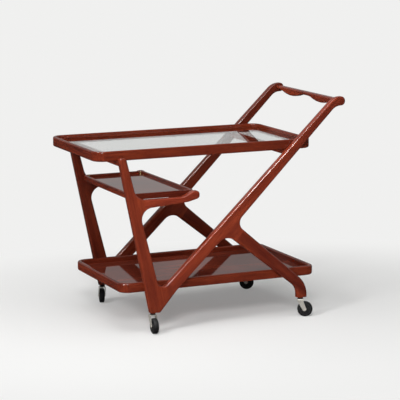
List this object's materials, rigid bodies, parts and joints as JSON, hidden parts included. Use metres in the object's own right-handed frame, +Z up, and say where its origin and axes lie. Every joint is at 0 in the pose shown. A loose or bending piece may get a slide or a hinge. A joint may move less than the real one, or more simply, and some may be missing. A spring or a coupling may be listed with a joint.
{
  "type": "serving trolley",
  "caption": "Wheeled serving trolley with bent wooden side frames, a lift-off glass-bottomed tray on top, a half shelf, a large lower tray and swivel casters.",
  "frame": {"origin": "on the floor below the middle of the trolley", "axes": "+X from the front to the handle, +Y from the left side frame to the right one, +Z up"},
  "size_m": [0.956, 0.5731, 0.797],
  "materials": {
    "frame_wood": "satin lacquered mahogany",
    "tray_wood": "gloss lacquered mahogany",
    "panel_veneer": "high gloss mahogany veneer",
    "glass": "clear float glass, ground edge",
    "screw_metal": "plain turned brass",
    "socket_metal": "dark bronzed steel",
    "caster_metal": "dull nickel plate",
    "wheel_plastic": "moulded black plastic",
    "tyre_rubber": "black rubber"
  },
  "bodies": {
    "trolley": {"front_leg_left": "frame_wood", "shelf_bracket_left": "frame_wood", "handle_arm_left": "frame_wood", "rear_leg_left": "frame_wood", "front_leg_right": "frame_wood", "shelf_bracket_right": "frame_wood", "handle_arm_right": "frame_wood", "rear_leg_right": "frame_wood", "frame_dowels": "frame_wood", "front_cross_rail": "frame_wood", "rear_cross_rail": "frame_wood", "cross_rail_dowels": "frame_wood", "handle_bar": "frame_wood", "shelf_front_rail": "tray_wood", "shelf_rear_rail": "tray_wood", "shelf_left_rail": "tray_wood", "shelf_right_rail": "tray_wood", "shelf_panel": "panel_veneer", "lower_tray_front_rail": "tray_wood", "lower_tray_rear_rail": "tray_wood", "lower_tray_left_rail": "tray_wood", "lower_tray_right_rail": "tray_wood", "lower_tray_panel": "panel_veneer", "shelf_screws": "screw_metal", "lower_tray_screws": "screw_metal", "caster_sockets": "socket_metal"},
    "upper_tray": {"upper_tray_front_rail": "tray_wood", "upper_tray_rear_rail": "tray_wood", "upper_tray_left_rail": "tray_wood", "upper_tray_right_rail": "tray_wood", "glass_pane": "glass"},
    "front_left_caster": {"front_left_fork": "caster_metal", "front_left_stem": "caster_metal", "front_left_axle": "caster_metal"},
    "front_left_wheel": {"front_left_wheel_core": "wheel_plastic", "front_left_tyre": "tyre_rubber"},
    "front_right_caster": {"front_right_fork": "caster_metal", "front_right_stem": "caster_metal", "front_right_axle": "caster_metal"},
    "front_right_wheel": {"front_right_wheel_core": "wheel_plastic", "front_right_tyre": "tyre_rubber"},
    "rear_left_caster": {"rear_left_fork": "caster_metal", "rear_left_stem": "caster_metal", "rear_left_axle": "caster_metal"},
    "rear_left_wheel": {"rear_left_wheel_core": "wheel_plastic", "rear_left_tyre": "tyre_rubber"},
    "rear_right_caster": {"rear_right_fork": "caster_metal", "rear_right_stem": "caster_metal", "rear_right_axle": "caster_metal"},
    "rear_right_wheel": {"rear_right_wheel_core": "wheel_plastic", "rear_right_tyre": "tyre_rubber"}
  },
  "joints": [
    {"name": "upper_tray_lift", "type": "slide", "parent": "trolley", "child": "upper_tray", "axis": [0, 0, 1], "range_m": [0, 0.2]},
    {"name": "front_left_swivel", "type": "hinge", "parent": "trolley", "child": "front_left_caster", "pos_m": [-0.274, -0.242, 0.0675], "axis": [0, 0, 1], "continuous": true},
    {"name": "front_left_roll", "type": "hinge", "parent": "front_left_caster", "child": "front_left_wheel", "pos_m": [-0.27504, -0.25897, 0.0275], "axis": [0.9981, -0.061, 0], "continuous": true},
    {"name": "front_right_swivel", "type": "hinge", "parent": "trolley", "child": "front_right_caster", "pos_m": [-0.274, 0.242, 0.0675], "axis": [0, 0, 1], "continuous": true},
    {"name": "front_right_roll", "type": "hinge", "parent": "front_right_caster", "child": "front_right_wheel", "pos_m": [-0.2696, 0.25842, 0.0275], "axis": [-0.9659, 0.2588, 0], "continuous": true},
    {"name": "rear_left_swivel", "type": "hinge", "parent": "trolley", "child": "rear_left_caster", "pos_m": [0.3085, -0.242, 0.0675], "axis": [0, 0, 1], "continuous": true},
    {"name": "rear_left_roll", "type": "hinge", "parent": "rear_left_caster", "child": "rear_left_wheel", "pos_m": [0.32396, -0.24908, 0.0275], "axis": [0.4163, 0.9092, 0], "continuous": true},
    {"name": "rear_right_swivel", "type": "hinge", "parent": "trolley", "child": "rear_right_caster", "pos_m": [0.3085, 0.242, 0.0675], "axis": [0, 0, 1], "continuous": true},
    {"name": "rear_right_roll", "type": "hinge", "parent": "rear_right_caster", "child": "rear_right_wheel", "pos_m": [0.32396, 0.23492, 0.0275], "axis": [0.4163, 0.9092, 0], "continuous": true}
  ]
}
